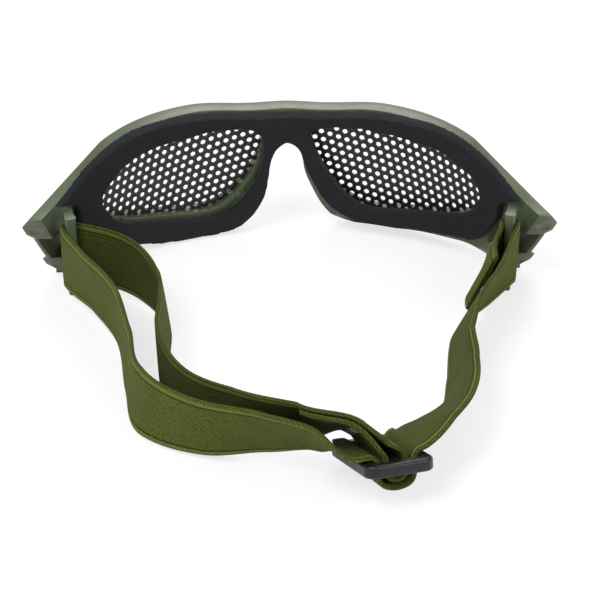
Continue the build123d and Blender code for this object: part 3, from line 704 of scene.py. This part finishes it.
outer_ply_shares = [
    (-0.667, -0.759, 0.675, -0.12, -0.06), (-0.563, -0.966, 0.65, -0.03, -0.08),
    (-0.517, -1.184, 0.52, 0.08, -0.05), (-0.471, -1.408, 0.515, 0.06, 0.03),
    (-0.299, -1.560, 0.55, -0.10, -0.20), (-0.115, -1.620, 0.64, 0.0, -0.48),
    (0.01, -1.662, 0.67, 0.12, -0.68),
]
inner_ply_shares = [
    (-0.540, -0.632, 0.62, 0.0, -0.09), (-0.431, -0.793, 0.525, -0.13, -0.10),
    (-0.414, -1.0, 0.55, -0.10, 0.0), (-0.418, -1.213, 0.585, -0.03, -0.02),
    (-0.339, -1.408, 0.54, -0.04, -0.07), (-0.178, -1.545, 0.66, -0.03, -0.28),
    (0.0, -1.610, 0.80, 0.05, -0.60),
]
right_ply_shares = [
    (0.690, -0.700, 0.59, 0.18, -0.10), (0.613, -0.850, 0.64, 0.38, -0.15),
    (0.540, -1.0, 0.64, 0.36, -0.20), (0.501, -1.166, 0.515, 0.27, -0.14),
    (0.478, -1.332, 0.51, 0.40, -0.13), (0.413, -1.490, 0.58, 0.56, -0.50),
    (0.358, -1.565, 0.59, 0.42, -0.74),
]
return_ply_shares = [
    (0.650, -0.647, 0.62, 0.22, -0.18), (0.626, -0.706, 0.59, 0.34, -0.25),
    (0.622, -0.755, 0.57, 0.38, -0.27),
]
pass_shares = [
    (-0.262, -0.12, -0.085), (-0.205, -0.225, -0.165), (-0.10, -0.27, -0.198),
    (0.10, -0.27, -0.198), (0.205, -0.225, -0.165), (0.262, -0.12, -0.085),
]
fold_shares = [
    (0.135, -0.031, -0.031), (0.122, -0.135, -0.10), (0.06, -0.172, -0.121),
    (-0.06, -0.172, -0.121), (-0.122, -0.135, -0.10), (-0.135, -0.031, -0.031),
]
outer_approach_shares = [
    (-0.55, 0.15, 0.0, 0.0), (-0.42, 0.152, 0.0, 0.0), (-0.325, 0.137, 0.0, 0.0),
    (-0.272, 0.075, 0.0, 0.0),
]
inner_approach_shares = [
    (-0.42, 0.54, 0.10, 0.20), (-0.22, 0.41, 0.02, 0.08), (-0.065, 0.285, 0.0, 0.0),
    (0.068, 0.20, 0.0, 0.0), (0.13, 0.107, 0.0, 0.0),
]
right_approach_shares = [(0.44, 0.20, 0.0, 0.0), (0.335, 0.16, 0.0, 0.0), (0.28, 0.085, 0.0, 0.0)]
tail_approach_shares = [(-0.15, 0.12, 0.0, 0.0), (-0.20, 0.20, 0.0, 0.0)]


def slider_point(along, up, across=0.0):
    return SLIDER_PLACE + SLIDER_ALONG * along + SLIDER_UP * up + SLIDER_BARS * across


def down():
    return -SLIDER_UP


def stations_of(shares):
    rows = []
    for x, y, high, lean_x, lean_y in shares:
        place = Vector((x * WRAP_RADIUS, y * WRAP_RADIUS, high * WEB_WIDTH - REST_DEPTH))
        rows.append((place, Vector((lean_x, lean_y, math.sqrt(1 - lean_x ** 2 - lean_y ** 2)))))
    return rows


def approach_of(shares):
    rows = []
    for along, up, across, lean in shares:
        place = slider_point(along * SLIDER_DEPTH, up * SLIDER_DEPTH, across * SLIDER_DEPTH)
        rows.append((place, SLIDER_UP * lean - SLIDER_BARS * math.sqrt(1 - lean * lean)))
    return rows


def entry(share):
    return (slider_point(share * SLIDER_DEPTH, ENTRY_HEIGHT), -SLIDER_BARS)


def smooth(stations, steps, first=None, last=None):
    """Sections of (place, heading, direction to the top edge) along stations."""
    places = [p for p, _ in stations]
    count = len(places)
    slopes = [None] * count
    for i in range(1, count - 1):
        before, after = places[i] - places[i - 1], places[i + 1] - places[i]
        share = after.length / before.length
        slopes[i] = (before * share + after / share).normalized()
    head, tail = places[1] - places[0], places[-1] - places[-2]
    slopes[0] = first or (head * 2 - slopes[1] * head.length).normalized()
    slopes[-1] = last or (tail * 2 - slopes[-2] * tail.length).normalized()
    sections = []
    for i in range(count - 1):
        (p, v), (q, w) = stations[i], stations[i + 1]
        span = (q - p).length
        for k in range(steps + (i == count - 2)):
            t = k / steps
            place = p * (2 * t**3 - 3 * t**2 + 1) + slopes[i] * (span * (t**3 - 2 * t**2 + t))
            place += q * (3 * t**2 - 2 * t**3) + slopes[i + 1] * (span * (t**3 - t**2))
            heading = (p - q) * (6 * t**2 - 6 * t) + slopes[i] * (span * (3 * t**2 - 4 * t + 1))
            heading = (heading + slopes[i + 1] * (span * (3 * t**2 - 2 * t))).normalized()
            width = v * (1 - t) + w * t
            width = (width - heading * width.dot(heading)).normalized()
            sections.append((place, heading, width))
    return sections


def post_place(side):
    peg = Vector((side * math.sin(PEG_ANGLE), math.cos(PEG_ANGLE), 0)) * PEG_RADIUS_IN + WRAP_AXIS
    return peg + Vector((-side * math.sin(LOOP_SPLAY), -math.cos(LOOP_SPLAY), 0)) * POST_CENTRE


def wrap_sections(side, steps):
    """Webbing round the front of a post, from its outer side to its inner side."""
    centre = post_place(side) + Vector((0, 0, POST_MIDDLE_Z))
    start, end = TURN_RIGHT if side > 0 else TURN_LEFT
    turn = 1 if end > start else -1
    rows = []
    for k in range(steps + 1):
        a = math.radians(start + (end - start) * k / steps)
        out = Vector((math.cos(a), math.sin(a), 0))
        heading = Vector((-math.sin(a), math.cos(a), 0)) * turn
        rows.append((centre + out * WRAP_REACH, heading, Vector((0, 0, 1))))
    return rows


def ply_route(wrap_end, way, shares, approach, line):
    """From a wrap's end through a ply's stations and down into the slider."""
    place, heading, width = wrap_end
    rows = [(place, width)] + stations_of(shares) + approach_of(approach) + [entry(line)]
    return smooth(rows, WEB_STEPS, heading * way, down())


def under_bar(shares, line):
    """A ply's dip under the slider's centre bar, deeper at its near edge."""
    rows = [entry(line)]
    for along, near, far in shares:
        a = slider_point(along * SLIDER_DEPTH, near * WEB_WIDTH, -WEB_WIDTH / 2)
        b = slider_point(along * SLIDER_DEPTH, far * WEB_WIDTH, WEB_WIDTH / 2)
        rows.append(((a + b) / 2, (a - b).normalized()))
    return smooth(rows + [entry(-line)], WEB_STEPS, down(), SLIDER_UP)


def tail_route(carrier):
    """Up from the slider, then sewn along the inside of the ply that carries it."""
    low, high = (int(share * (len(carrier) - 1)) for share in TAIL_REACH)
    sewn = []
    for place, heading, width in reversed(carrier[low:high + 1]):
        sewn.append((place + heading.cross(width) * (WEB_THICK + SEAM_GAP), -heading, width))
    rows = [entry(-FOLD_LINE)] + approach_of(tail_approach_shares) + [(sewn[0][0], sewn[0][2])]
    return smooth(rows, WEB_STEPS, SLIDER_UP, sewn[0][1])[:-1] + sewn


def strap_routes():
    left, right = wrap_sections(-1, TURN_STEPS[0]), wrap_sections(1, TURN_STEPS[1])
    outer = ply_route(left[0], -1, outer_ply_shares, outer_approach_shares, -PASS_LINE)
    inner = ply_route(left[-1], 1, inner_ply_shares, inner_approach_shares, FOLD_LINE)
    place, heading, width = right[-1]
    return {
        "wrap_left": left,
        "wrap_right": right,
        "outer": outer,
        "inner": inner,
        "right": ply_route(right[0], -1, right_ply_shares, right_approach_shares, PASS_LINE),
        "return": smooth([(place, width)] + stations_of(return_ply_shares), WEB_STEPS, heading),
        "pass": under_bar(pass_shares, -PASS_LINE),
        "fold": under_bar(fold_shares, FOLD_LINE),
        "tail": tail_route(inner),
    }


ACROSS = 12  # faces across the webbing's width
EDGE_ROUND = 0.45 * MM
EDGE_POINT = 0.08 * MM  # from the very edge
EDGE_THICK_SHARE = 0.2
EDGE_WAY = 0.1 * MM
EDGE_THINNING = 0.14
THINNING_POWER = 4


def strap_profile():
    """Points round the webbing's section as (across, through, way round in metres)."""
    half = WEB_WIDTH / 2
    rows = []
    for k in range(ACROSS + 1):
        t = -1 + 2 * k / ACROSS
        swell = 1 - EDGE_THINNING * abs(t) ** THINNING_POWER
        across = t * (half - EDGE_ROUND)
        rows.append((across, WEB_THICK / 2 * swell, half + across))
    rows.append((half - EDGE_POINT, WEB_THICK * EDGE_THICK_SHARE, WEB_WIDTH - EDGE_WAY))
    back = [(-across, -through, way + WEB_ROUND / 2) for across, through, way in rows]
    return rows + back


def webbing(name, sections, length=0.0, turned=False):
    """The strap along its sections, closed at both ends, with its UV map in metres.
    A turned piece has the strap's outer face on its other side."""
    profile = strap_profile()
    ring = len(profile)
    points, faces, reach = [], [], [length]
    for i, (place, heading, width) in enumerate(sections):
        out = heading.cross(width)
        if i:
            reach.append(reach[-1] + (place - sections[i - 1][0]).length)
        for across, through, _ in profile:
            points.append(place + width * across + out * through)
    for i in range(len(sections) - 1):
        for k in range(ring):
            n = (k + 1) % ring
            faces.append((i * ring + k, i * ring + n, (i + 1) * ring + n, (i + 1) * ring + k))
    faces.append(tuple(reversed(range(ring))))
    last = (len(sections) - 1) * ring
    faces.append(tuple(last + k for k in range(ring)))
    strap = mesh_object(name, points, faces)
    face_outwards(strap)
    layer = strap.data.uv_layers.new(name="Strap")
    for face in strap.data.polygons:
        corners = [strap.data.loops[i].vertex_index for i in face.loop_indices]
        wraps = {c % ring for c in corners} == {0, ring - 1}
        for i, c in zip(face.loop_indices, corners):
            way = profile[c % ring][2]
            if wraps and c % ring == 0:
                way = WEB_ROUND
            layer.data[i].uv = (reach[c // ring], way + turned * WEB_ROUND / 2)
    shade(strap, WEB_SHARP_ANGLE)
    set_material(strap, olive_web)
    return strap, reach[-1]


def cut(sections, share):
    """Two runs of sections that share the one at a share of the whole."""
    i = int(share * (len(sections) - 1))
    return sections[:i + 1], sections[i:]


def wrap(side, turned):
    """The turn round a post. Returns the strap's length so far."""
    piece, length = webbing(f"strap_wrap_{side}_web", routes[f"wrap_{side}"], 0.0, turned)
    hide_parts(f"strap_wrap_{side}")
    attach(piece, f"strap_loop_{side}")
    return length


def ply(key, share, length, turned, side, near, far):
    """A ply in two runs: one from its loop to the frame, one from there to the slider."""
    first, second = cut(routes[key], share)
    front, length = webbing(f"strap_{key}_front", first, length, turned)
    back, _ = webbing(f"strap_{key}_back", second, length, turned)
    for piece in (front, back):
        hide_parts(f"strap_{key}_ply")
    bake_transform(front)
    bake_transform(back)


# where each bend starts and ends, in mm
outer_bends = ((-66, -52, -7), (-50, -84, -7)), ((-30, -132, -9), (6, -146, -9))
inner_bends = ((-63, -47, -7), (-37, -76, -7)), ((-32, -119, -9), (-5, -138, -7))
right_bends = ((64, -52, -7), (50, -80, -7)), ((44, -98, -9), (30, -138, -9))
LEFT_CUT = 0.30
RIGHT_CUT = 0.36

routes = strap_routes()
ply("outer", LEFT_CUT, wrap("left", True), False, "left", *outer_bends)
ply("inner", LEFT_CUT, 0.0, True, "left", *inner_bends)
ply("right", RIGHT_CUT, wrap("right", False), True, "right", *right_bends)

strap_return, _ = webbing("strap_return_web", routes["return"])
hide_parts("strap_right_return")
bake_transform(strap_return)

for name, node, key in (
    ("strap_pass_web", "strap_slider_pass", "pass"),
    ("strap_fold_web", "strap_slider_fold", "fold"),
    ("strap_tail_web", "strap_tail", "tail"),
):
    piece, _ = webbing(name, routes[key])
    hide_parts(node)
    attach(piece, "slider")


# Bar tacks: one zigzag thread on each face, made round by Geometry Nodes

THREAD_RADIUS = 0.16 * MM
TACK_LENGTH = 15.0 * MM
TACK_STEP = 0.55 * MM
TACK_SWING = 1.1 * MM
TACK_LIFT = 0.1 * MM
THREAD_SIDES = 6
RIGHT_TACK_SHARE = 0.3
SLIDER_TACK_SHARE = 0.72


def thread_tree():
    t = Nodes("sewn thread", {"Thread Radius": THREAD_RADIUS, "Thread Sides": THREAD_SIDES})
    path = t.add("GeometryNodeMeshToCurve", {"Mesh": t.start.outputs[0]})
    ring = t.add("GeometryNodeCurvePrimitiveCircle", {
        "Resolution": t.size("Thread Sides"), "Radius": t.size("Thread Radius")})
    tube = t.add("GeometryNodeCurveToMesh", {
        "Curve": path.outputs[0], "Profile Curve": ring.outputs[0], "Fill Caps": True})
    return t, tube.outputs[0]


def bar_tack(name, sections, share, layers, body, node):
    i = int(share * (len(sections) - 1))
    place, heading, width = sections[i]
    out = heading.cross(width)
    lift = WEB_THICK / 2 + TACK_LIFT
    points, edges = [], []
    count = int(TACK_LENGTH / TACK_STEP)
    for far, side in ((layers * (WEB_THICK + SEAM_GAP), 1), (0.0, -1)):
        first = len(points)
        for k in range(count + 1):
            across = -TACK_LENGTH / 2 + TACK_LENGTH * k / count
            swing = TACK_SWING * (1 if k % 2 else -1)
            points.append(place + width * across + heading * swing + out * side * (lift + far))
        edges += [(j, j + 1) for j in range(first, len(points) - 1)]
    mesh = bpy.data.meshes.new(name)
    mesh.from_pydata([tuple(p) for p in points], edges, [])
    tack = finished(bpy.data.objects.new(name, mesh))
    tree, geometry = thread_tree()
    tree.finish(geometry, tack, tack_thread)
    shade(tack)
    set_material(tack, tack_thread)
    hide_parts(node)
    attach(tack, body)


bar_tack("tack_right", routes["return"], RIGHT_TACK_SHARE, 0, "strap_loop_right", "bartack_right")
bar_tack("tack_slider", routes["tail"], SLIDER_TACK_SHARE, 1, "slider", "bartack_slider")


# Stage: floor, lights and camera

FLOOR_HALF = 3.0
FLOOR_DROP = 0.02 * MM
FLOOR_GREY = 0.86
FLOOR_GLOW = 0.72  # only for the camera's own rays
WORLD_LIGHT = 0.55
WHITE = (1, 1, 1, 1)
# name, place, target, width in metres and watts
lamps = [
    ("key", (-0.55, -0.55, 1.05), (0, -0.07, 0), 0.7, 13.0),
    ("fill", (0.8, -0.7, 0.55), (0, -0.07, 0), 0.8, 6.0),
    ("back", (0.1, 0.85, 0.75), (0, -0.05, 0), 0.7, 7.0),
]


def floor():
    signs = ((-1, -1), (1, -1), (1, 1), (-1, 1))
    corners = [(x * FLOOR_HALF, y * FLOOR_HALF, TABLE_Z) for x, y in signs]
    plane = mesh_object("floor", corners, [(0, 1, 2, 3)])
    plane.location.z = -FLOOR_DROP
    s = Shader("white floor")
    s.set(Roughness=0.9, Specular_IOR_Level=0.1, Base_Color=(*grey(FLOOR_GREY), 1))
    glow = s.node("ShaderNodeEmission")
    glow.inputs["Color"].default_value = WHITE
    path = s.node("ShaderNodeLightPath")
    join = s.node("ShaderNodeMixShader")
    s.link(s.times(path.outputs["Is Camera Ray"], FLOOR_GLOW), join.inputs[0])
    s.link(s.body.outputs[0], join.inputs[1])
    s.link(glow.outputs[0], join.inputs[2])
    s.link(join.outputs[0], s.tree.nodes["Material Output"].inputs["Surface"])
    set_material(plane, s.material)


def lamp(name, place, target, width, watts):
    light = bpy.data.lights.new(name, "AREA")
    light.shape = "DISK"
    light.size = width
    light.energy = watts
    obj = finished(bpy.data.objects.new(name, light))
    obj.location = place
    obj.rotation_euler = (Vector(target) - Vector(place)).to_track_quat("-Z", "Y").to_euler()


def studio():
    for row in lamps:
        lamp(*row)
    world = bpy.data.worlds.new("studio")
    bpy.context.scene.world = world
    world.use_nodes = True
    nodes = world.node_tree.nodes
    links = world.node_tree.links
    plain = nodes["Background"]
    seen = nodes.new("ShaderNodeBackground")
    for background, strength in ((plain, WORLD_LIGHT), (seen, 1.0)):
        background.inputs["Color"].default_value = WHITE
        background.inputs["Strength"].default_value = strength
    path = nodes.new("ShaderNodeLightPath")
    join = nodes.new("ShaderNodeMixShader")
    links.new(path.outputs["Is Camera Ray"], join.inputs[0])
    links.new(plain.outputs[0], join.inputs[1])
    links.new(seen.outputs[0], join.inputs[2])
    links.new(join.outputs[0], nodes["World Output"].inputs["Surface"])


CAMERA_AZIMUTH = math.radians(-2.0)
CAMERA_ELEVATION = math.radians(25.0)
CAMERA_ROLL = math.radians(0.4)
CAMERA_DISTANCE = 520.0 * MM
FOCAL_PIXELS = 1637.5
AIM_POINT = Vector((0, -1.0, 0)) * MM
AIM_PIXEL = (286.0, 161.5)  # where the aim point lies in the photograph
SENSOR = 36.0
NEAR_CLIP = 0.01


def camera():
    back = Vector((
        math.sin(CAMERA_AZIMUTH) * math.cos(CAMERA_ELEVATION),
        -math.cos(CAMERA_AZIMUTH) * math.cos(CAMERA_ELEVATION),
        math.sin(CAMERA_ELEVATION),
    ))
    right = (-back).cross(Vector((0, 0, 1))).normalized()
    up = right.cross(-back)
    turned_right = right * math.cos(CAMERA_ROLL) + up * math.sin(CAMERA_ROLL)
    turned_up = up * math.cos(CAMERA_ROLL) - right * math.sin(CAMERA_ROLL)
    middle = PHOTO_SIDE / 2
    forward = -back + turned_right * ((middle - AIM_PIXEL[0]) / FOCAL_PIXELS)
    forward = (forward - turned_up * ((middle - AIM_PIXEL[1]) / FOCAL_PIXELS)).normalized()
    turned_up = (turned_up - forward * turned_up.dot(forward)).normalized()
    turned_right = forward.cross(turned_up)
    data = bpy.data.cameras.new("camera")
    data.sensor_width = SENSOR
    data.sensor_fit = "HORIZONTAL"
    data.lens = FOCAL_PIXELS / PHOTO_SIDE * SENSOR
    data.clip_start = NEAR_CLIP
    obj = finished(bpy.data.objects.new("camera", data))
    turn = Matrix((turned_right, turned_up, -forward)).transposed().to_4x4()
    obj.matrix_world = Matrix.Translation(AIM_POINT + back * CAMERA_DISTANCE) @ turn
    bpy.context.scene.camera = obj


floor()
studio()
camera()
bpy.context.scene.view_settings.view_transform = "Standard"
